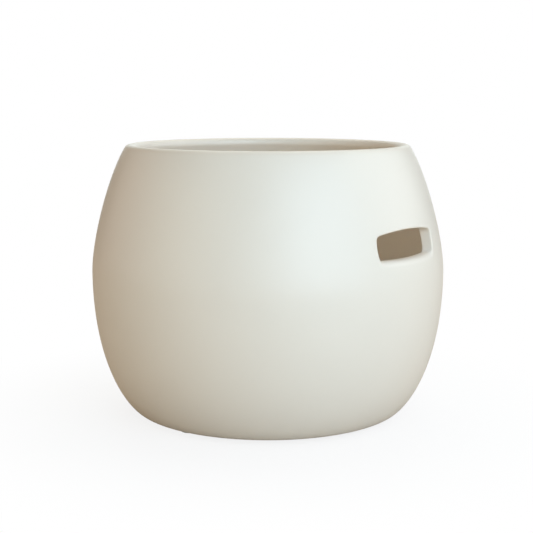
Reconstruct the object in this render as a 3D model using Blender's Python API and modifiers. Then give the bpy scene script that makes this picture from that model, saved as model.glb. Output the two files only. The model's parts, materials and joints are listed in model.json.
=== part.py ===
"""Yarn bowl: a round glazed stoneware bowl with a yarn slot, standing on four soft pads.

The bowl is one fired piece: a turned wall that swells to a belly, leans in to a narrower
mouth and ends in a fully round lip, with a flat foot ring and a shallow recess under the
floor. One wide slot with round corners is cut through the wall, square to it, and the yarn
runs out of it. Four non-slip pads are stuck on the foot ring.

Units are metres and +Z is up. The origin is on the bowl's axis at the table's surface, and
the slot faces -Y.
"""

import math

import bmesh
import bpy
from mathutils import Matrix, Vector

# Pads under the foot
PAD_COUNT = 4
PAD_RADIUS = 0.0042
PAD_THICKNESS = 0.0016
PAD_EDGE = 0.0004
PAD_RING_RADIUS = 0.0525
ADHESIVE_GAP = 0.0003

# Bowl, outside
FOOT_Z = PAD_THICKNESS + ADHESIVE_GAP
FOOT_RADIUS = 0.0600
BELLY_RADIUS = 0.0800
BELLY_Z = FOOT_Z + 0.0631
RIM_RADIUS = 0.0644
RIM_Z = FOOT_Z + 0.1194
RIM_LEAN = math.radians(31.9)

# Bowl, wall and underside
WALL = 0.0048
LIP_RADIUS = WALL / 2
RECESS_RADIUS = 0.0465
RECESS_DEPTH = 0.0015
RECESS_SLOPE = 0.0010
FLOOR_Z = FOOT_Z + RECESS_DEPTH + WALL
FLOOR_RADIUS = 0.0580

# How far each curve's handles reach: as a share of the height from belly to rim, of the
# height from foot to belly, and of the belly's radius.
BELLY_PULL_UP = 0.271
RIM_PULL = 0.248
BELLY_PULL_DOWN = 0.713
FOOT_PULL = 0.044

# Yarn slot, as it shows in the front view of the outer face. The crowns are how far its
# sides bow out between the corners.
SLOT_WIDTH = 0.0396
SLOT_SILL_Z = FOOT_Z + 0.07565
SLOT_TOP_Z = FOOT_Z + 0.0861
SLOT_CORNER = 0.0023
SLOT_TOP_CROWN = 0.00150
SLOT_SILL_CROWN = 0.00035
SLOT_END_CROWN = 0.00030

# Smoothness of the faceted solids
TURN_STEPS = 72
WALL_STEPS = 8
LIP_STEPS = 6
CORNER_STEPS = 4
SIDE_STEPS = 6
PAD_STEPS = 32

GLAZE_COLOUR = (0.85, 0.755, 0.64, 1.0)
PAD_COLOUR = (0.62, 0.61, 0.58, 1.0)


def clear_scene():
    """Remove the objects of the open scene."""
    for old in list(bpy.data.objects):
        bpy.data.objects.remove(old, do_unlink=True)


def make_collection(name):
    """Return a new collection linked to the scene."""
    collection = bpy.data.collections.new(name)
    bpy.context.scene.collection.children.link(collection)
    return collection


def make_material(name, colour, roughness):
    """Return a plain non-metallic Principled material."""
    material = bpy.data.materials.new(name)
    material.use_nodes = True
    shader = material.node_tree.nodes["Principled BSDF"]
    shader.inputs["Base Color"].default_value = colour
    shader.inputs["Roughness"].default_value = roughness
    shader.inputs["Metallic"].default_value = 0.0
    return material


def bezier(p0, p1, p2, p3, steps):
    """Return the points of a cubic curve from p0 to p3, both ends included."""
    points = []
    for i in range(steps + 1):
        t = i / steps
        weights = ((1 - t) ** 3, 3 * t * (1 - t) ** 2, 3 * t ** 2 * (1 - t), t ** 3)
        points.append(tuple(sum(w * p[k] for w, p in zip(weights, (p0, p1, p2, p3)))
                            for k in range(2)))
    return points


def wall_face(rim, belly_radius, foot):
    """Return one face of the wall as (radius, z) points, from the rim down to the foot.

    It leaves the rim at the rim's lean, stands upright at the belly and arrives level at
    the foot, so that its two curves meet without a corner.
    """
    rise = rim[1] - BELLY_Z
    drop = BELLY_Z - foot[1]
    belly = (belly_radius, BELLY_Z)
    rim_handle = (rim[0] + RIM_PULL * rise * math.sin(RIM_LEAN),
                  rim[1] - RIM_PULL * rise * math.cos(RIM_LEAN))
    upper = bezier(rim, rim_handle, (belly_radius, BELLY_Z + BELLY_PULL_UP * rise), belly,
                   WALL_STEPS)
    lower = bezier(belly, (belly_radius, BELLY_Z - BELLY_PULL_DOWN * drop),
                   (foot[0] + FOOT_PULL * belly_radius, foot[1]), foot, WALL_STEPS)
    return upper + lower[1:]


def bowl_profile():
    """Return the bowl's half section, up the inside, over the lip and down the outside."""
    lean = (math.cos(RIM_LEAN), math.sin(RIM_LEAN))
    lip_centre = (RIM_RADIUS - LIP_RADIUS * lean[0], RIM_Z - LIP_RADIUS * lean[1])
    inner_rim = (lip_centre[0] - LIP_RADIUS * lean[0], lip_centre[1] - LIP_RADIUS * lean[1])

    inside = wall_face(inner_rim, BELLY_RADIUS - WALL, (FLOOR_RADIUS, FLOOR_Z))[::-1]
    outside = wall_face((RIM_RADIUS, RIM_Z), BELLY_RADIUS, (FOOT_RADIUS, FOOT_Z))
    lip = []
    for i in range(1, LIP_STEPS):
        angle = RIM_LEAN + math.pi * (1 - i / LIP_STEPS)
        lip.append((lip_centre[0] + LIP_RADIUS * math.cos(angle),
                    lip_centre[1] + LIP_RADIUS * math.sin(angle)))

    underside = [(RECESS_RADIUS + RECESS_SLOPE, FOOT_Z),
                 (RECESS_RADIUS, FOOT_Z + RECESS_DEPTH),
                 (0.0, FOOT_Z + RECESS_DEPTH)]
    return [(0.0, FLOOR_Z)] + inside + lip + outside + underside


def slot_outline():
    """Return the slot's outline as (x, z) points, anticlockwise seen from the front."""
    middle_z = (SLOT_TOP_Z + SLOT_SILL_Z) / 2
    half_width = SLOT_WIDTH / 2
    half_height = (SLOT_TOP_Z - SLOT_SILL_Z) / 2
    # Each side, from the right-hand end: how far out it lies, half its length and its crown.
    sides = ((half_width, half_height - SLOT_CORNER, SLOT_END_CROWN),
             (half_height, half_width - SLOT_CORNER, SLOT_TOP_CROWN),
             (half_width, half_height - SLOT_CORNER, SLOT_END_CROWN),
             (half_height, half_width - SLOT_CORNER, SLOT_SILL_CROWN))
    points = []
    for quarter, (distance, reach, crown) in enumerate(sides):
        turn = Matrix.Rotation(quarter * math.pi / 2, 2)
        for i in range(SIDE_STEPS):
            along = 2 * i / SIDE_STEPS - 1
            points.append(turn @ Vector((distance + crown * (1 - along ** 2), along * reach)))
        for i in range(CORNER_STEPS):
            angle = math.pi / 2 * i / CORNER_STEPS
            points.append(turn @ Vector((distance + SLOT_CORNER * (math.cos(angle) - 1),
                                         reach + SLOT_CORNER * math.sin(angle))))
    return [(x, middle_z + z) for x, z in points]


def make_turned(name, profile, steps, material, collection):
    """Return a round solid: the profile swept about the Z axis by a Screw modifier."""
    form = bmesh.new()
    points = [form.verts.new((radius, 0.0, z)) for radius, z in profile]
    for first, second in zip(points, points[1:]):
        form.edges.new((first, second))
    mesh = bpy.data.meshes.new(name)
    form.to_mesh(mesh)
    form.free()
    mesh.materials.append(material)
    turned = bpy.data.objects.new(name, mesh)
    collection.objects.link(turned)
    screw = turned.modifiers.new("Turn", "SCREW")
    screw.angle = math.tau
    screw.steps = steps
    screw.render_steps = steps
    screw.use_merge_vertices = True
    screw.merge_threshold = 0.00001
    screw.use_smooth_shade = True
    return turned


def outer_radius_at(height):
    """Return the outer face's radius at a height above the belly."""
    outside = wall_face((RIM_RADIUS, RIM_Z), BELLY_RADIUS, (FOOT_RADIUS, FOOT_Z))
    for (upper, high), (lower, low) in zip(outside, outside[1:]):
        if low <= height <= high:
            return lower + (upper - lower) * (height - low) / (high - low)
    raise ValueError("the height is not on the wall")


def make_slot_cutter(collection):
    """Return the block that cuts the slot through the front wall, out past both faces.

    It narrows towards the bowl's axis, so that the slot's ends are square to the wall.
    """
    near_y = -(BELLY_RADIUS + 2 * WALL)
    far_y = -(BELLY_RADIUS - 5 * WALL)
    form = bmesh.new()
    corners = []
    for x, z in slot_outline():
        wall_y = -math.sqrt(outer_radius_at(z) ** 2 - x ** 2)
        corners.append(form.verts.new((x * near_y / wall_y, near_y, z)))
    pushed = bmesh.ops.extrude_face_region(form, geom=[form.faces.new(corners)])
    moved = [v for v in pushed["geom"] if isinstance(v, bmesh.types.BMVert)]
    bmesh.ops.translate(form, verts=moved, vec=(0.0, far_y - near_y, 0.0))
    bmesh.ops.scale(form, verts=moved, vec=(far_y / near_y, 1.0, 1.0))
    bmesh.ops.recalc_face_normals(form, faces=form.faces)
    mesh = bpy.data.meshes.new("slot_cutter")
    form.to_mesh(mesh)
    form.free()
    cutter = bpy.data.objects.new("slot_cutter", mesh)
    cutter.hide_render = True
    cutter.display_type = "WIRE"
    collection.objects.link(cutter)
    return cutter


def make_bowl(parts, cutters):
    """Make the bowl: the turned wall with the slot cut through its front."""
    glaze = make_material("cream_glaze", GLAZE_COLOUR, 0.3)
    bowl = make_turned("bowl", bowl_profile(), TURN_STEPS, glaze, parts)
    cut = bowl.modifiers.new("Yarn slot", "BOOLEAN")
    cut.operation = "DIFFERENCE"
    cut.solver = "EXACT"
    cut.object = make_slot_cutter(cutters)
    return bowl


def make_pad_mesh(material):
    """Return one pad's mesh: a flat disc on its own centre, with both edges rounded."""
    form = bmesh.new()
    bmesh.ops.create_cone(form, cap_ends=True, segments=PAD_STEPS, radius1=PAD_RADIUS,
                          radius2=PAD_RADIUS, depth=PAD_THICKNESS)
    rims = [edge for edge in form.edges
            if abs(edge.verts[0].co.z - edge.verts[1].co.z) < PAD_EDGE]
    bmesh.ops.bevel(form, geom=rims, affect="EDGES", offset=PAD_EDGE, segments=2, profile=0.5)
    mesh = bpy.data.meshes.new("pad")
    form.to_mesh(mesh)
    form.free()
    mesh.materials.append(material)
    mesh.shade_smooth()
    mesh.set_sharp_from_angle(angle=math.radians(30))
    return mesh


def make_pads(parts):
    """Make the pads, evenly spaced under the foot ring, the last one straight below the slot."""
    mesh = make_pad_mesh(make_material("soft_pad", PAD_COLOUR, 0.5))
    for i in range(PAD_COUNT):
        angle = math.tau * i / PAD_COUNT
        pad = bpy.data.objects.new(f"pad_{i + 1}", mesh)
        pad.location = (PAD_RING_RADIUS * math.cos(angle), PAD_RING_RADIUS * math.sin(angle),
                        PAD_THICKNESS / 2)
        parts.objects.link(pad)


def main():
    """Build the yarn bowl."""
    clear_scene()
    parts = make_collection("yarn_bowl")
    cutters = make_collection("cutters")
    make_bowl(parts, cutters)
    make_pads(parts)


main()
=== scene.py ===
"""Yarn bowl, the finished look: a glazed stoneware bowl with a yarn slot, on four soft pads.

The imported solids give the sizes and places. This script makes the fine surfaces that stand
for them: the turned and glazed bowl with its softened slot, its bare foot ring and its
pads. It then sets the bowl on a pale floor in soft light. Units are metres, +Z is up, and
the slot faces -Y.
"""

import json
import logging
import math
from collections.abc import Iterable
from dataclasses import dataclass
from enum import Enum

import bmesh
import bpy
from mathutils import Matrix, Vector


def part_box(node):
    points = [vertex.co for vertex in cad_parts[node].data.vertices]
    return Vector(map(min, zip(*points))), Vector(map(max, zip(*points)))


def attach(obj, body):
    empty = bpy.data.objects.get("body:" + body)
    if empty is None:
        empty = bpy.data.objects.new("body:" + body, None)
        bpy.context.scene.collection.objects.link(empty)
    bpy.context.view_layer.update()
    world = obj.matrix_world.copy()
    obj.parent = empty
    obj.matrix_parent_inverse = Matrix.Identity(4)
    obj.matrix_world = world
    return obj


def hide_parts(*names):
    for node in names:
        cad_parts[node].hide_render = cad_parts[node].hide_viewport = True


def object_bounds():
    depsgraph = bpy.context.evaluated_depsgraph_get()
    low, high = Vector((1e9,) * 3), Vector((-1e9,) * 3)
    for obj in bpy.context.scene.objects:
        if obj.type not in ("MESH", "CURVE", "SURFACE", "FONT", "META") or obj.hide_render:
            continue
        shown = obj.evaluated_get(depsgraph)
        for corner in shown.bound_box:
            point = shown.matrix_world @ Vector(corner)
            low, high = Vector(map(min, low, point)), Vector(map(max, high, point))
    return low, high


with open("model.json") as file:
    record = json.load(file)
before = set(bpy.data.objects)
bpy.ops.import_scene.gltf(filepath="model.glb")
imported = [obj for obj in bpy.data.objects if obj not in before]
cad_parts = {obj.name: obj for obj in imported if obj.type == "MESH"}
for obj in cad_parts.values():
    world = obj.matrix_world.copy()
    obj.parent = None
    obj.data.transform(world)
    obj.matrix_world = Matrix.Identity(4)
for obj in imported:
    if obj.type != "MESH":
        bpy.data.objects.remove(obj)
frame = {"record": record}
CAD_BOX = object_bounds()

LOG = logging.getLogger("yarn_bowl")
MM = 0.001
HALVINGS = 40
THIN_GLAZE = "thin_glaze"

Point = tuple[float, float]
Colour = tuple[float, float, float]


class Side(Enum):
    """The sides of the slot, as quarter turns from the right-hand end."""

    RIGHT = 0
    TOP = 1
    LEFT = 2
    SILL = 3


def bezier(control: tuple[Point, Point, Point, Point], share: float) -> Point:
    """Find a point on a cubic curve.

    Args:
        control: The curve's two ends and, between them, its two handles.
        share: How far along the curve the point is, from 0 to 1.

    Returns:
        The point, as radius and height.
    """
    rest = 1.0 - share
    weights = (rest ** 3, 3 * share * rest ** 2, 3 * share ** 2 * rest, share ** 3)
    return (sum(w * p[0] for w, p in zip(weights, control)),
            sum(w * p[1] for w, p in zip(weights, control)))


@dataclass(frozen=True)
class WallFace:
    """One face of the turned wall, as two curves that meet upright at the belly."""

    rim: Point
    belly: Point
    foot: Point
    rim_lean: float = math.radians(31.9)
    rim_pull: float = 0.248
    belly_pull_up: float = 0.271
    belly_pull_down: float = 0.713
    foot_pull: float = 0.044

    def upper(self) -> tuple[Point, Point, Point, Point]:
        """Return the curve from the rim down to the belly."""
        rise = self.rim[1] - self.belly[1]
        pull = self.rim_pull * rise
        rim_handle = (self.rim[0] + pull * math.sin(self.rim_lean),
                      self.rim[1] - pull * math.cos(self.rim_lean))
        belly_handle = (self.belly[0], self.belly[1] + self.belly_pull_up * rise)
        return self.rim, rim_handle, belly_handle, self.belly

    def lower(self) -> tuple[Point, Point, Point, Point]:
        """Return the curve from the belly down to the foot."""
        drop = self.belly[1] - self.foot[1]
        belly_handle = (self.belly[0], self.belly[1] - self.belly_pull_down * drop)
        foot_handle = (self.foot[0] + self.foot_pull * self.belly[0], self.foot[1])
        return self.belly, belly_handle, foot_handle, self.foot

    def points(self, upper_steps: int, lower_steps: int) -> list[Point]:
        """Return points from the rim down to the foot.

        Args:
            upper_steps: How many stretches lie above the belly.
            lower_steps: How many stretches lie below it.

        Returns:
            The points, with both ends.
        """
        above = [bezier(self.upper(), i / upper_steps) for i in range(upper_steps)]
        below = [bezier(self.lower(), i / lower_steps) for i in range(lower_steps + 1)]
        return above + below

    def radius_at(self, height: float) -> float:
        """Find the face's radius at a height, by halving the stretch that holds it.

        Args:
            height: The height, between the foot and the rim.

        Returns:
            The distance from the bowl's axis.
        """
        curve = self.upper() if height > self.belly[1] else self.lower()
        low, high = 0.0, 1.0
        for _ in range(HALVINGS):
            middle = (low + high) / 2
            if bezier(curve, middle)[1] > height:
                low = middle
            else:
                high = middle
        return bezier(curve, low)[0]

    def place(self, x: float, height: float) -> Vector:
        """Return the point of the face that lies straight behind a point of the front view."""
        radius = self.radius_at(height)
        return Vector((x, -math.sqrt(radius ** 2 - x ** 2), height))

    def place_behind(self, front: Vector) -> Vector:
        """Return the point of the face towards the axis from a point outside it."""
        level = Vector((front.x, front.y, 0.0)).normalized() * self.radius_at(front.z)
        return Vector((level.x, level.y, front.z))


@dataclass(frozen=True)
class BowlForm:
    """The bowl's half section: the wall, the round lip, the floor and the foot ring."""

    foot_z: float
    top_z: float
    belly_radius: float
    wall: float = 4.8 * MM
    rim_lean: float = math.radians(31.9)
    rim_radius: float = 64.4 * MM
    belly_rise: float = 63.1 * MM
    foot_radius: float = 60.0 * MM
    floor_radius: float = 58.0 * MM
    recess_radius: float = 46.5 * MM
    recess_depth: float = 1.5 * MM
    recess_slope: float = 1.0 * MM
    glaze_line_radius: float = 58.0 * MM
    glaze_bead: float = 0.25 * MM
    bead_shape: tuple[Point, ...] = ((3.0, 0.0), (2.0, 0.0), (1.0, 0.3), (0.0, 1.0),
                                     (-1.0, 0.4), (-2.0, 0.0), (-3.0, 0.0))
    upper_steps: int = 44
    lower_steps: int = 52
    lip_steps: int = 18
    floor_steps: int = 10
    ring_steps: int = 6
    slope_steps: int = 8

    @property
    def lip_radius(self) -> float:
        """The lip is a half round, as thick as the wall."""
        return self.wall / 2

    @property
    def lip_centre(self) -> Point:
        """The centre of the lip's half round, whose crest is the bowl's highest point."""
        return (self.rim_radius - self.lip_radius * math.cos(self.rim_lean),
                self.top_z - self.lip_radius)

    def rim_point(self, outward: float) -> Point:
        """Return where the lip meets the wall, outside for +1 and inside for -1."""
        reach = outward * self.lip_radius
        return (self.lip_centre[0] + reach * math.cos(self.rim_lean),
                self.lip_centre[1] + reach * math.sin(self.rim_lean))

    def outer(self) -> WallFace:
        """Return the wall's outer face."""
        return WallFace(self.rim_point(1.0), (self.belly_radius, self.foot_z + self.belly_rise),
                        (self.foot_radius, self.foot_z), self.rim_lean)

    def inner(self) -> WallFace:
        """Return the wall's inner face, which ends level on the floor."""
        floor_z = self.foot_z + self.recess_depth + self.wall
        return WallFace(self.rim_point(-1.0),
                        (self.belly_radius - self.wall, self.foot_z + self.belly_rise),
                        (self.floor_radius, floor_z), self.rim_lean)

    def lip(self) -> list[Point]:
        """Return the lip's points from inside to outside, without its two ends."""
        points = []
        for i in range(1, self.lip_steps):
            angle = self.rim_lean + math.pi * (1 - i / self.lip_steps)
            points.append((self.lip_centre[0] + self.lip_radius * math.cos(angle),
                           self.lip_centre[1] + self.lip_radius * math.sin(angle)))
        return points

    def underside(self) -> list[Point]:
        """Return the foot ring and the recess, from the outer wall in to the axis.

        The glaze stops in a bead that turns up a little off the ring's flat face.
        """
        bead = self.glaze_bead
        points = [(self.glaze_line_radius + across * bead, self.foot_z + up * bead)
                  for across, up in self.bead_shape]
        bare_edge = points[-1][0]
        ring_in = self.recess_radius + self.recess_slope
        points += [(bare_edge + (ring_in + bead - bare_edge) * i / self.ring_steps, self.foot_z)
                   for i in range(1, self.ring_steps + 1)]
        for i in range(1, self.slope_steps + 1):
            share = i / self.slope_steps
            eased = share * share * (3 - 2 * share)
            points.append((ring_in - 2 * self.recess_slope * share,
                           self.foot_z + self.recess_depth * eased))
        inner_edge, ceiling = points[-1]
        points += [(inner_edge * (1 - i / self.ring_steps), ceiling)
                   for i in range(1, self.ring_steps + 1)]
        return points

    def row_height(self, face: WallFace, row: int) -> float:
        """Return the height of one row of points, counted down from the rim."""
        return bezier(face.upper(), row / self.upper_steps)[1]

    def lip_share(self, height: float) -> float:
        """Return how near a height is to the lip's crest, from 0 below the lip to 1."""
        return min(max((height - self.lip_centre[1]) / self.lip_radius, 0.0), 1.0)

    def profile(self) -> list[Point]:
        """Return the whole section, from the floor's centre to the underside's centre."""
        floor_z = self.inner().foot[1]
        floor = [(self.floor_radius * i / self.floor_steps, floor_z)
                 for i in range(self.floor_steps)]
        inside = self.inner().points(self.upper_steps, self.lower_steps)[::-1]
        outside = self.outer().points(self.upper_steps, self.lower_steps)
        return floor + inside + self.lip() + outside + self.underside()


@dataclass(frozen=True)
class YarnSlot:
    """The slot: four gently bowed sides joined by round corners, cut square to the wall.

    Its edges are softened, and the sill, which the yarn runs over, is rounded most.
    """

    sill_z: float
    top_z: float
    width: float = 39.6 * MM
    corner: float = 2.3 * MM
    top_crown: float = 1.50 * MM
    sill_crown: float = 0.35 * MM
    end_crown: float = 0.30 * MM
    edge_round: float = 0.6 * MM
    sill_round: float = 2.4 * MM
    inner_round: float = 0.5 * MM
    corner_crowding: float = 0.3
    round_steps: int = 8
    wall_steps: int = 3

    @property
    def centre_z(self) -> float:
        """The height halfway between the slot's corners."""
        return (self.sill_z + self.top_z) / 2

    def side_sizes(self, side: Side) -> tuple[float, float, float, float]:
        """Work out one side in its own directions, outwards and along.

        Args:
            side: The side.

        Returns:
            How far out its ends lie, half its length, its crown and its slope at its ends.
        """
        half_width, half_height = self.width / 2, (self.top_z - self.sill_z) / 2
        upright = side in (Side.RIGHT, Side.LEFT)
        crowns = {Side.RIGHT: self.end_crown, Side.LEFT: self.end_crown,
                  Side.TOP: self.top_crown, Side.SILL: self.sill_crown}
        out, across = (half_width, half_height) if upright else (half_height, half_width)
        neighbour_crown = self.top_crown if upright else self.end_crown
        slope = 2 * crowns[side] / (across - self.corner)
        neighbour_slope = 2 * neighbour_crown / (out - self.corner)
        half_length = across - self.corner * (math.cos(neighbour_slope) - math.sin(slope))
        return out, half_length, crowns[side], slope

    def outline(self, side: Side, share: float) -> tuple[Vector, Vector]:
        """Find a point of the outline in the front view.

        Args:
            side: The side that the point is on.
            share: Its place along the side, from -1 to 1 between the middles of its corners.

        Returns:
            The point and the outline's outward direction there, both as x and z.
        """
        out, half_length, crown, slope = self.side_sizes(side)
        if side in (Side.TOP, Side.SILL):
            share *= 1 + self.corner_crowding * (1 - share ** 2)
        travelled = abs(share) * (half_length + self.corner * (math.pi / 4 - slope))
        if travelled <= half_length:
            along = travelled
            angle = slope * along / half_length
            point = Vector((out + crown * (1 - (along / half_length) ** 2), along))
        else:
            angle = slope + (travelled - half_length) / self.corner
            point = Vector((out + self.corner * (math.cos(angle) - math.cos(slope)),
                            half_length + self.corner * (math.sin(angle) - math.sin(slope))))
        away = Vector((math.cos(angle), math.sin(angle)))
        if share < 0:
            point.y, away.y = -point.y, -away.y
        turn = Matrix.Rotation(side.value * math.pi / 2, 2)
        return turn @ point + Vector((0.0, self.centre_z)), turn @ away

    def round_at(self, away: Vector) -> float:
        """Return the radius of the outer edge's round where the outline faces a direction."""
        down = max(-away.y, 0.0)
        return self.edge_round + (self.sill_round - self.edge_round) * down ** 4


@dataclass(frozen=True)
class Window:
    """The patch of the turned wall that is taken out and made again around the slot."""

    half_angle: float
    low_z: float
    high_z: float

    def holds(self, point: Vector) -> bool:
        """Return whether a point of the wall lies inside the patch."""
        angle = math.atan2(point.x, -point.y)
        return abs(angle) < self.half_angle and self.low_z < point.z < self.high_z

    def side_of(self, point: Vector) -> tuple[Side, float]:
        """Find where on the patch's border a point lies.

        Args:
            point: A point of the border.

        Returns:
            The side, and the place along it, from -1 to 1 in the slot's own direction.
        """
        across = math.atan2(point.x, -point.y) / self.half_angle
        up = (2 * point.z - self.low_z - self.high_z) / (self.high_z - self.low_z)
        if abs(across) > abs(up):
            return (Side.RIGHT, up) if across > 0 else (Side.LEFT, -up)
        return (Side.TOP, -across) if up > 0 else (Side.SILL, across)


def in_order(border: Iterable[bmesh.types.BMEdge]) -> list[bmesh.types.BMVert]:
    """Put the points of an opening's border in order.

    Args:
        border: The border's edges, which form one closed loop.

    Returns:
        The points, from the lowest left corner along the lower side first.
    """
    neighbours: dict[bmesh.types.BMVert, list[bmesh.types.BMVert]] = {}
    for edge in border:
        one, other = edge.verts
        neighbours.setdefault(one, []).append(other)
        neighbours.setdefault(other, []).append(one)
    start = min(neighbours, key=lambda vertex: vertex.co.x + vertex.co.z)
    ordered = [start, max(neighbours[start], key=lambda vertex: vertex.co.x)]
    while len(ordered) < len(neighbours):
        one, other = neighbours[ordered[-1]]
        ordered.append(other if one == ordered[-2] else one)
    return ordered


def softened(start: Vector, corner: Vector, end: Vector, share: float) -> Vector:
    """Find a point of the round that takes a corner off.

    Args:
        start: Where the round leaves the first face.
        corner: The sharp corner that it replaces.
        end: Where it meets the second face.
        share: The point's place on the round, from 0 to 1.

    Returns:
        The point.
    """
    rest = 1.0 - share
    middle = 2 * share * rest * math.cos(math.pi / 4)
    total = rest ** 2 + middle + share ** 2
    return (start * rest ** 2 + corner * middle + end * share ** 2) / total


@dataclass
class GlazedBowl:
    """The bowl: one turned body with the slot fitted into its front wall."""

    form: BowlForm
    slot: YarnSlot
    turn_steps: int = 288
    window_turns: int = 18
    rows_over: int = 6
    rows_under: int = 5
    collar_steps: int = 7
    collar_crowding: float = 1.3
    weld_distance: float = 0.0005 * MM

    def build(self) -> bpy.types.Mesh:
        """Turn the body, open the wall and fit the slot.

        Returns:
            The closed mesh, with the edges where the glaze runs thin marked.
        """
        body = bmesh.new()
        body.verts.layers.float.new(THIN_GLAZE)
        self.turn(body)
        outer_border = self.open_face(body, self.form.outer())
        inner_border = self.open_face(body, self.form.inner())
        self.fit_slot(body, outer_border, inner_border)
        bmesh.ops.recalc_face_normals(body, faces=body.faces)
        mesh = bpy.data.meshes.new("glazed_bowl")
        body.to_mesh(mesh)
        body.free()
        mesh.shade_smooth()
        return mesh

    def turn(self, body: bmesh.types.BMesh) -> None:
        """Sweep the half section about the axis.

        Args:
            body: The mesh to make it in.
        """
        thin = body.verts.layers.float[THIN_GLAZE]
        points = [body.verts.new((radius, 0.0, height)) for radius, height in self.form.profile()]
        for point in points:
            point[thin] = self.form.lip_share(point.co.z)
        section = [body.edges.new(pair) for pair in zip(points, points[1:])]
        bmesh.ops.spin(body, geom=points + section, cent=(0, 0, 0), axis=(0, 0, 1), dvec=(0, 0, 0),
                       angle=math.tau, steps=self.turn_steps, use_merge=True, use_duplicate=False)
        bmesh.ops.remove_doubles(body, verts=body.verts, dist=self.weld_distance)

    def window(self, face: WallFace) -> Window:
        """Place the patch on one face of the wall, along the lines of the turned mesh.

        Args:
            face: The face of the wall.

        Returns:
            The patch, which spans the same rows on both faces of the wall.
        """
        rows = [self.form.row_height(self.form.outer(), row)
                for row in range(self.form.upper_steps + 1)]
        top = sum(height > self.slot.top_z for height in rows) - self.rows_over
        low = sum(height > self.slot.sill_z for height in rows) + self.rows_under
        return Window(self.window_turns * math.tau / self.turn_steps,
                      self.form.row_height(face, low), self.form.row_height(face, top))

    def open_face(self, body: bmesh.types.BMesh, face: WallFace) -> list[bmesh.types.BMVert]:
        """Take the patch out of one face of the wall.

        Args:
            body: The turned mesh.
            face: The face of the wall.

        Returns:
            The new border's points, in order.
        """
        window = self.window(face)
        patch = []
        for facet in body.faces:
            centre = facet.calc_center_median()
            if window.holds(centre) and abs(face.radius_at(centre.z) - centre.xy.length) < MM:
                patch.append(facet)
        earlier = [edge for edge in body.edges if edge.is_boundary]
        bmesh.ops.delete(body, geom=patch, context="FACES")
        return in_order(edge for edge in body.edges if edge.is_boundary and edge not in earlier)

    def fit_slot(self, body: bmesh.types.BMesh, outer_border: list[bmesh.types.BMVert],
                 inner_border: list[bmesh.types.BMVert]) -> None:
        """Skin the wall from one opening's border through the slot to the other's.

        Args:
            body: The turned mesh with both patches taken out.
            outer_border: The outer opening's points, in order.
            inner_border: The inner opening's points, in the same order.
        """
        thin = body.verts.layers.float[THIN_GLAZE]
        window = self.window(self.form.outer())
        strips = []
        for outside, inside in zip(outer_border, inner_border):
            spot, away = self.slot.outline(*window.side_of(outside.co))
            strips.append(self.strip(outside.co, inside.co, spot, away))
        loops = [loop_edges(body, outer_border)]
        for ring in zip(*strips):
            points = []
            for place, thinness in ring:
                points.append(body.verts.new(place))
                points[-1][thin] = thinness
            loops.append(loop_edges(body, points))
        loops.append(loop_edges(body, inner_border))
        for first, second in zip(loops, loops[1:]):
            bmesh.ops.bridge_loops(body, edges=first + second)

    def strip(self, outside: Vector, inside: Vector, spot: Vector,
              away: Vector) -> list[tuple[Vector, float]]:
        """Lay one strip of points through the slot, without its two ends.

        Args:
            outside: The strip's end on the outer opening's border.
            inside: The strip's end on the inner opening's border.
            spot: The point of the slot's outline that it passes, as x and z.
            away: The outline's outward direction there.

        Returns:
            Each point, and how thin the glaze is on it from 0 to 1.
        """
        slot, outer, inner = self.slot, self.form.outer(), self.form.inner()
        outer_round = slot.round_at(away)
        front = outer.place(*spot)
        back = inner.place_behind(front)
        inwards = (back - front).normalized()
        front_turn = front + inwards * outer_round
        back_turn = back - inwards * slot.inner_round
        points = self.collar(outer, outside, spot + away * outer_round)
        rim = points[-1]
        for step in range(1, slot.round_steps + 1):
            share = step / slot.round_steps
            points.append(softened(rim, front, front_turn, share))
        for step in range(1, slot.wall_steps + 1):
            points.append(front_turn.lerp(back_turn, step / slot.wall_steps))
        back_edge = Vector((back.x, back.z)) + away * slot.inner_round
        return_path = self.collar(inner, inside, back_edge)[::-1]
        for step in range(1, slot.round_steps):
            points.append(softened(back_turn, back, return_path[0], step / slot.round_steps))
        points += return_path
        length = len(points)
        thinness = [0.0] * length
        first = self.collar_steps
        for step in range(slot.round_steps + 1):
            bulge = math.sin(math.pi * step / slot.round_steps)
            thinness[first - 1 + step] = bulge * slot.edge_round / outer_round
            thinness[length - first - step] = bulge
        return list(zip(points, thinness))

    def collar(self, face: WallFace, border: Vector, edge: Vector) -> list[Vector]:
        """Step across one face of the wall, from the opening's border to the slot's edge.

        Args:
            face: The face of the wall.
            border: The start, on the border.
            edge: The end, as x and z.

        Returns:
            The points on the face, without the border and with the end.
        """
        start = Vector((border.x, border.z))
        points = []
        for step in range(1, self.collar_steps + 1):
            spot = edge.lerp(start, (1 - step / self.collar_steps) ** self.collar_crowding)
            points.append(face.place(*spot))
        return points

    def make(self, glaze: "Finish") -> bpy.types.Object:
        """Make the bowl's object and dress it.

        Args:
            glaze: The finish it wears.

        Returns:
            The object, which stands for the bowl's solid.
        """
        bowl = bpy.data.objects.new("glazed_bowl", self.build())
        bpy.context.scene.collection.objects.link(bowl)
        bowl.data.materials.append(glaze.material())
        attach(bowl, "root")
        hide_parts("bowl")
        return bowl


def loop_edges(body: bmesh.types.BMesh,
               points: list[bmesh.types.BMVert]) -> list[bmesh.types.BMEdge]:
    """Return the edges of a closed loop of points, making those that are missing."""
    return [body.edges.get(pair) or body.edges.new(pair)
            for pair in zip(points, points[1:] + points[:1])]


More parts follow.
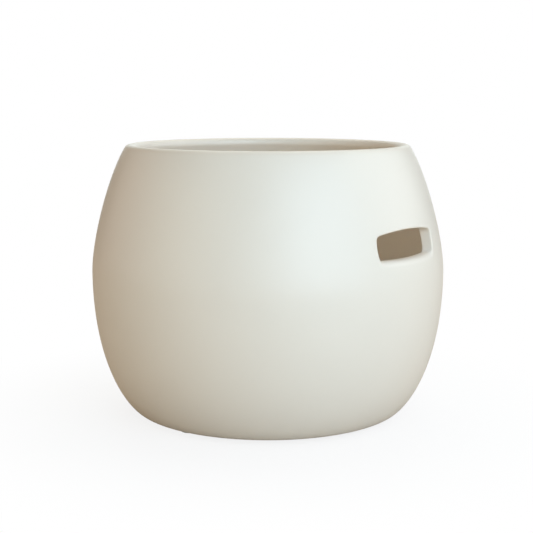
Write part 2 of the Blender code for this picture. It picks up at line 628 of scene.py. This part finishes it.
@dataclass
class SoftPad:
    """A self-adhesive pad under the foot ring: a soft disc on a thin film of adhesive."""

    node: str
    contact_z: float
    edge_round: float = 0.5 * MM
    film_inset: float = 0.35 * MM
    film_gap: float = 0.03 * MM
    sharp_angle: float = math.radians(40)
    turn_steps: int = 48
    round_steps: int = 6
    weld_distance: float = 0.001 * MM

    def profile(self, radius: float, height: float) -> list[Point]:
        """Return the pad's half section from the top of its film down to its underside.

        Args:
            radius: The pad's radius.
            height: The pad's height.

        Returns:
            The points, as distance from the pad's axis and height.
        """
        film_radius, film_top = radius - self.film_inset, self.contact_z - self.film_gap
        points = [(0.0, film_top), (film_radius, film_top), (film_radius, height)]
        for level, turn in ((height - self.edge_round, 0.0), (self.edge_round, -math.pi / 2)):
            for step in range(self.round_steps + 1):
                angle = turn + math.pi / 2 * (1 - step / self.round_steps)
                points.append((radius - self.edge_round + self.edge_round * math.cos(angle),
                               level + self.edge_round * math.sin(angle)))
        return points + [(0.0, 0.0)]

    def make(self, silicone: "Finish") -> bpy.types.Object:
        """Turn the pad in its own place and dress it.

        Args:
            silicone: The finish it wears.

        Returns:
            The object, which stands for the solid of its node.
        """
        low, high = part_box(self.node)
        centre = (low + high) / 2
        profile = self.profile((high.x - low.x) / 2, high.z - low.z)
        form = bmesh.new()
        points = [form.verts.new((radius, 0.0, height)) for radius, height in profile]
        section = [form.edges.new(pair) for pair in zip(points, points[1:])]
        bmesh.ops.spin(form, geom=points + section, cent=(0, 0, 0), axis=(0, 0, 1), dvec=(0, 0, 0),
                       angle=math.tau, steps=self.turn_steps, use_merge=True, use_duplicate=False)
        bmesh.ops.remove_doubles(form, verts=form.verts, dist=self.weld_distance)
        bmesh.ops.recalc_face_normals(form, faces=form.faces)
        bmesh.ops.translate(form, verts=form.verts, vec=(centre.x, centre.y, low.z))
        mesh = bpy.data.meshes.new(f"soft_{self.node}")
        form.to_mesh(mesh)
        form.free()
        mesh.materials.append(silicone.material())
        mesh.shade_smooth()
        mesh.set_sharp_from_angle(angle=self.sharp_angle)
        pad = bpy.data.objects.new(mesh.name, mesh)
        bpy.context.scene.collection.objects.link(pad)
        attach(pad, "root")
        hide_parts(self.node)
        return pad


class Bench:
    """Adds nodes to a shader tree and joins them up."""

    def __init__(self, tree: bpy.types.NodeTree) -> None:
        """Take the tree to work on."""
        self.tree = tree

    def add(self, kind: str, inputs: dict | None = None, **settings: object) -> bpy.types.Node:
        """Add a node.

        Args:
            kind: The node's type, without the "ShaderNode" in front.
            inputs: What each input gets, by name or number: a socket to join, or a value.
            settings: The node's own properties.

        Returns:
            The node.
        """
        node = self.tree.nodes.new(f"ShaderNode{kind}")
        for name, value in settings.items():
            setattr(node, name, value)
        for name, value in (inputs or {}).items():
            if isinstance(value, bpy.types.NodeSocket):
                self.tree.links.new(value, node.inputs[name])
            else:
                node.inputs[name].default_value = value
        return node

    def maths(self, operation: str, *values: object) -> bpy.types.NodeSocket:
        """Add a Math node and return its result."""
        return self.add("Math", dict(enumerate(values)), operation=operation).outputs[0]

    def ramp(self, value: object, low: float, high: float, start: float = 0.0,
             end: float = 1.0) -> bpy.types.NodeSocket:
        """Add a smooth, clamped change of range.

        Args:
            value: The socket to read.
            low: The value that gives start.
            high: The value that gives end.
            start: The result at low.
            end: The result at high.

        Returns:
            The result.
        """
        node = self.add("MapRange", {"Value": value, "From Min": low, "From Max": high,
                                     "To Min": start, "To Max": end},
                        interpolation_type="SMOOTHSTEP")
        return node.outputs[0]

    def toned(self, colour: Colour, drift: bpy.types.NodeSocket,
              change: float) -> bpy.types.NodeSocket:
        """Make a colour lighter and darker with a drift around 0 and return the result."""
        tone = self.maths("MULTIPLY_ADD", drift, change, 1.0)
        return self.add("VectorMath", {0: colour, "Scale": tone}, operation="SCALE").outputs[0]

    def blend(self, share: object, first: object, second: object) -> bpy.types.NodeSocket:
        """Mix two colours by a share and return the result."""
        node = self.add("Mix", data_type="RGBA", clamp_factor=True)
        for socket, value in ((node.inputs[0], share), (node.inputs[6], first),
                              (node.inputs[7], second)):
            if isinstance(value, bpy.types.NodeSocket):
                self.tree.links.new(value, socket)
            else:
                socket.default_value = value if isinstance(value, float) else (*value, 1.0)
        return node.outputs[2]


def drift_group() -> bpy.types.NodeTree:
    """Return the shared group for slow and fine change over a fired or moulded surface.

    Returns:
        The group: it reads a pattern size in metres and gives a value around 0.
    """
    name = "surface_drift"
    if name in bpy.data.node_groups:
        return bpy.data.node_groups[name]
    group = bpy.data.node_groups.new(name, "ShaderNodeTree")
    group.interface.new_socket("Size", in_out="INPUT", socket_type="NodeSocketFloat")
    group.interface.new_socket("Octaves", in_out="INPUT", socket_type="NodeSocketFloat")
    group.interface.new_socket("Drift", in_out="OUTPUT", socket_type="NodeSocketFloat")
    bench = Bench(group)
    given = group.nodes.new("NodeGroupInput")
    result = group.nodes.new("NodeGroupOutput")
    place = bench.add("TexCoord").outputs["Object"]
    scale = bench.maths("DIVIDE", 1.0, given.outputs["Size"])
    noise = bench.add("TexNoise", {"Vector": place, "Scale": scale,
                                   "Detail": given.outputs["Octaves"], "Roughness": 0.5})
    group.links.new(bench.maths("SUBTRACT", noise.outputs[0], 0.5), result.inputs["Drift"])
    return group


class Finish:
    """A finish that makes its material once and hands it out."""

    name: str

    def material(self) -> bpy.types.Material:
        """Return the finish's material, making it the first time."""
        if self.name in bpy.data.materials:
            return bpy.data.materials[self.name]
        material = bpy.data.materials.new(self.name)
        material.use_nodes = True
        bench = Bench(material.node_tree)
        self.lay(bench, material.node_tree.nodes["Principled BSDF"])
        return material

    def lay(self, bench: Bench, shader: bpy.types.Node) -> None:
        """Set the shader and join the finish's own nodes to it."""
        raise NotImplementedError

    @staticmethod
    def drift(bench: Bench, size: float, octaves: float = 2.0) -> bpy.types.NodeSocket:
        """Return slow or fine change of a given pattern size, around 0."""
        node = bench.add("Group", node_tree=drift_group())
        node.inputs["Size"].default_value = size
        node.inputs["Octaves"].default_value = octaves
        return node.outputs["Drift"]


@dataclass(frozen=True)
class StonewareGlaze(Finish):
    """Warm white satin glaze over stoneware, wiped off the foot ring before firing."""

    foot_z: float
    ring: tuple[float, float]
    name: str = "satin_white_glaze"
    colour: Colour = (0.85, 0.755, 0.64)
    tone_size: float = 45 * MM
    tone_change: float = 0.05
    thin_colour: Colour = (0.82, 0.70, 0.57)
    thin_share: float = 0.55
    roughness: float = 0.44
    coat: float = 0.22
    coat_roughness: float = 0.34
    ior: float = 1.5
    wave_size: float = 16 * MM
    wave_depth: float = 0.10 * MM
    peel_size: float = 1.6 * MM
    peel_depth: float = 0.004 * MM
    clay_colour: Colour = (0.56, 0.47, 0.36)
    clay_change: float = 0.5
    clay_roughness: float = 0.85
    grain_size: float = 0.35 * MM
    grain_octaves: float = 4.0
    pit_depth: float = 0.06 * MM
    line_wander: float = 0.6 * MM
    wander_size: float = 9 * MM
    line_softness: float = 0.15 * MM
    bare_height: tuple[float, float] = (0.4 * MM, 0.6 * MM)

    def lay(self, bench: Bench, shader: bpy.types.Node) -> None:
        """Lay the glaze, its thin edges and the bare clay of the foot ring.

        Args:
            bench: Where its nodes are added.
            shader: The shader that they feed.
        """
        bare = self.bare_mask(bench)
        toned = bench.toned(self.colour, self.drift(bench, self.tone_size), self.tone_change)
        thin = bench.add("Attribute", attribute_name=THIN_GLAZE).outputs["Fac"]
        edged = bench.blend(bench.maths("MULTIPLY", thin, self.thin_share), toned,
                            self.thin_colour)
        grain = self.drift(bench, self.grain_size, self.grain_octaves)
        clay = bench.toned(self.clay_colour, grain, self.clay_change)
        bench.tree.links.new(bench.blend(bare, edged, clay), shader.inputs["Base Color"])

        rough = bench.ramp(bare, 0.0, 1.0, self.roughness, self.clay_roughness)
        coat = bench.ramp(bare, 0.0, 1.0, self.coat, 0.0)
        bench.tree.links.new(rough, shader.inputs["Roughness"])
        bench.tree.links.new(coat, shader.inputs["Coat Weight"])
        shader.inputs["Coat Roughness"].default_value = self.coat_roughness
        shader.inputs["IOR"].default_value = self.ior

        waves = bench.maths("MULTIPLY", self.drift(bench, self.wave_size), self.wave_depth)
        peel = bench.maths("MULTIPLY", self.drift(bench, self.peel_size), self.peel_depth)
        pits = bench.maths("MULTIPLY", bench.maths("MULTIPLY", grain, bare), self.pit_depth)
        height = bench.maths("ADD", bench.maths("ADD", waves, peel), pits)
        bump = bench.add("Bump", {"Height": height, "Strength": 1.0, "Distance": 1.0})
        bench.tree.links.new(bump.outputs[0], shader.inputs["Normal"])

    def bare_mask(self, bench: Bench) -> bpy.types.NodeSocket:
        """Return 1 on the bare foot ring and 0 on the glaze, with a slightly wandering line."""
        place = bench.add("TexCoord").outputs["Object"]
        split = bench.add("SeparateXYZ", {0: place})
        flat = bench.add("CombineXYZ", {0: split.outputs[0], 1: split.outputs[1]})
        radius = bench.add("VectorMath", {0: flat.outputs[0]}, operation="LENGTH")
        wander = bench.maths("MULTIPLY", self.drift(bench, self.wander_size), self.line_wander)
        radius = bench.maths("ADD", radius.outputs["Value"], wander)
        soft = self.line_softness
        outside = bench.ramp(radius, self.ring[1] - soft, self.ring[1] + soft, 1.0, 0.0)
        inside = bench.ramp(radius, self.ring[0] - soft, self.ring[0] + soft)
        fades, ends = (self.foot_z + height for height in self.bare_height)
        low = bench.ramp(split.outputs[2], fades, ends, 1.0, 0.0)
        return bench.maths("MULTIPLY", bench.maths("MULTIPLY", outside, inside), low)


@dataclass(frozen=True)
class Silicone(Finish):
    """Milky, slightly dusty silicone."""

    name: str = "milky_silicone"
    colour: Colour = (0.66, 0.65, 0.61)
    roughness: tuple[float, float] = (0.42, 0.62)
    ior: float = 1.41
    scatter: float = 0.25
    scatter_reach: Colour = (1.2 * MM, 1.1 * MM, 1.0 * MM)
    dust_size: float = 0.8 * MM
    dust_octaves: float = 4.0
    dust_change: float = 0.18
    dust_spread: float = 0.3
    dust_depth: float = 0.02 * MM

    def lay(self, bench: Bench, shader: bpy.types.Node) -> None:
        """Lay the silicone and the fine dust on it.

        Args:
            bench: Where its nodes are added.
            shader: The shader that they feed.
        """
        dust = self.drift(bench, self.dust_size, self.dust_octaves)
        toned = bench.toned(self.colour, dust, self.dust_change)
        bench.tree.links.new(toned, shader.inputs["Base Color"])
        rough = bench.ramp(dust, -self.dust_spread, self.dust_spread, *self.roughness)
        bench.tree.links.new(rough, shader.inputs["Roughness"])
        shader.inputs["Subsurface Weight"].default_value = self.scatter
        shader.inputs["Subsurface Radius"].default_value = self.scatter_reach
        shader.inputs["IOR"].default_value = self.ior
        bump = bench.add("Bump", {"Height": bench.maths("MULTIPLY", dust, self.dust_depth)})
        bump.inputs["Distance"].default_value = 1.0
        bench.tree.links.new(bump.outputs[0], shader.inputs["Normal"])


def around(azimuth: float, elevation: float, distance: float, centre: Vector) -> Vector:
    """Find a point around the bowl.

    Args:
        azimuth: Degrees round from the slot's side, towards +X.
        elevation: Degrees above the centre's level.
        distance: How far the point is from the centre.
        centre: What it is measured from.

    Returns:
        The point.
    """
    turn, lift = math.radians(azimuth), math.radians(elevation)
    level = distance * math.cos(lift)
    return centre + Vector((level * math.sin(turn), -level * math.cos(turn),
                            distance * math.sin(lift)))


def aimed(place: Vector, target: Vector) -> Matrix:
    """Return the placing of a camera or light that looks from a place at a target."""
    turn = (target - place).to_track_quat("-Z", "Y")
    return Matrix.Translation(place) @ turn.to_matrix().to_4x4()


@dataclass(frozen=True)
class SoftLight:
    """A square soft light that faces the bowl."""

    name: str
    azimuth: float
    elevation: float
    watts: float
    colour: Colour
    side: float = 1.1
    distance: float = 1.2

    def make(self, centre: Vector) -> bpy.types.Object:
        """Hang the light.

        Args:
            centre: What it faces.

        Returns:
            The light's object.
        """
        lamp = bpy.data.lights.new(self.name, "AREA")
        lamp.shape = "SQUARE"
        lamp.size = self.side
        lamp.energy = self.watts
        lamp.color = self.colour
        light = bpy.data.objects.new(self.name, lamp)
        bpy.context.scene.collection.objects.link(light)
        light.matrix_world = aimed(around(self.azimuth, self.elevation, self.distance, centre),
                                   centre)
        return light


@dataclass
class Studio:
    """The pale floor, the soft lights and the camera."""

    centre: Vector
    view_azimuth: float = -49.9
    camera_distance: float = 0.528
    camera_height: float = 0.1477
    aim_height: float = 0.0661
    aim_left: float = 0.0006
    lens: float = 78.3
    sensor_width: float = 36.0
    floor_radius: float = 6.0
    floor_sides: int = 96
    floor_tone: float = 0.93
    shadow_depth: float = 0.16
    shadow_reach: tuple[float, float] = (0.05, 0.17)
    bounce_colour: Colour = (0.54, 0.455, 0.37)
    ambient_colour: Colour = (0.02, 0.02, 0.02)
    lights: tuple[SoftLight, ...] = (
        SoftLight("key", -15.0, 20.0, 12.9, (0.63, 0.82, 1.0)),
        SoftLight("front", -40.0, 5.0, 5.7, (0.80, 0.93, 1.0)),
        SoftLight("right", 50.0, 30.0, 5.5, (1.0, 1.0, 1.0)),
        SoftLight("left", -110.0, 10.0, 4.5, (1.0, 0.92, 0.72)),
        SoftLight("far_left", -160.0, 10.0, 2.4, (1.0, 0.79, 0.73)),
        SoftLight("over", 130.0, 60.0, 6.8, (1.0, 1.0, 0.92)),
        SoftLight("back", 130.0, 5.0, 4.9, (0.82, 0.96, 1.0)),
    )

    def make(self) -> None:
        """Set everything up and choose plain colour handling."""
        scene = bpy.context.scene
        scene.view_settings.view_transform = "Standard"
        self.camera()
        self.floor()
        self.world()
        for light in self.lights:
            light.make(self.centre)
            LOG.info("light %s", light.name)

    def camera(self) -> None:
        """Place the camera and make it the scene's."""
        lens = bpy.data.cameras.new("camera")
        lens.sensor_width = self.sensor_width
        lens.lens = self.lens
        camera = bpy.data.objects.new("camera", lens)
        bpy.context.scene.collection.objects.link(camera)
        foot = Vector((self.centre.x, self.centre.y, 0.0))
        place = around(self.view_azimuth, 0.0, self.camera_distance, foot)
        place.z = self.camera_height
        right = Vector((math.cos(math.radians(self.view_azimuth)),
                        math.sin(math.radians(self.view_azimuth)), 0.0))
        target = foot + Vector((0.0, 0.0, self.aim_height)) - right * self.aim_left
        camera.matrix_world = aimed(place, target)
        bpy.context.scene.camera = camera

    def floor(self) -> bpy.types.Object:
        """Lay the floor: pale to the eye, and a warm table top to the light that it returns.

        Returns:
            The floor's object.
        """
        form = bmesh.new()
        bmesh.ops.create_circle(form, cap_ends=True, segments=self.floor_sides,
                                radius=self.floor_radius)
        mesh = bpy.data.meshes.new("floor")
        form.to_mesh(mesh)
        form.free()
        floor = bpy.data.objects.new("floor", mesh)
        bpy.context.scene.collection.objects.link(floor)
        material = bpy.data.materials.new("pale_floor")
        material.use_nodes = True
        bench = Bench(material.node_tree)
        bench.tree.nodes.remove(bench.tree.nodes["Principled BSDF"])
        seen = bench.add("LightPath").outputs["Is Camera Ray"]
        tone = (self.floor_tone,) * 3
        table = bench.add("BsdfDiffuse", {"Color": bench.blend(seen, self.bounce_colour, tone)})
        paper = bench.add("Emission", {"Color": (1.0, 1.0, 1.0, 1.0), "Strength": 1.0})
        place = bench.add("TexCoord").outputs["Object"]
        radius = bench.add("VectorMath", {0: place}, operation="LENGTH").outputs["Value"]
        near, far = self.shadow_reach
        bright = bench.ramp(radius, near, far, 1.0 - self.shadow_depth, 1.0)
        paper_share = bench.maths("MULTIPLY", bright, seen)
        mixed = bench.add("MixShader", {0: paper_share, 1: table.outputs[0],
                                        2: paper.outputs[0]})
        output = bench.tree.nodes["Material Output"]
        bench.tree.links.new(mixed.outputs[0], output.inputs["Surface"])
        mesh.materials.append(material)
        return floor

    def world(self) -> None:
        """Make the surroundings: white to the eye, and a dim room to everything else."""
        world = bpy.data.worlds.new("studio")
        world.use_nodes = True
        bench = Bench(world.node_tree)
        seen = bench.add("LightPath").outputs["Is Camera Ray"]
        room = bench.tree.nodes["Background"]
        colour = bench.blend(seen, self.ambient_colour, (1.0, 1.0, 1.0))
        bench.tree.links.new(colour, room.inputs["Color"])
        bpy.context.scene.world = world


def main() -> None:
    """Build the bowl, its pads and the studio."""
    logging.basicConfig(level=logging.INFO, format="%(name)s: %(message)s")
    foot_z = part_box("bowl")[0].z
    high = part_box("bowl")[1]
    form = BowlForm(foot_z=foot_z, top_z=high.z, belly_radius=high.x)
    slot = YarnSlot(sill_z=foot_z + 75.65 * MM, top_z=foot_z + 86.1 * MM)
    glaze = StonewareGlaze(foot_z, (form.recess_radius + form.recess_slope,
                                    form.glaze_line_radius))
    bowl = GlazedBowl(form, slot).make(glaze)
    LOG.info("%s: %d faces", bowl.name, len(bowl.data.polygons))
    pads = [row["node"] for row in frame["record"]["subparts"] if row["node"].startswith("pad_")]
    silicone = Silicone()
    for node in pads:
        pad = SoftPad(node, foot_z).make(silicone)
        LOG.info("%s: %d faces", pad.name, len(pad.data.polygons))
    Studio(Vector((0.0, 0.0, (CAD_BOX[0][2] + CAD_BOX[1][2]) / 2))).make()


if __name__ == "__main__":
    main()
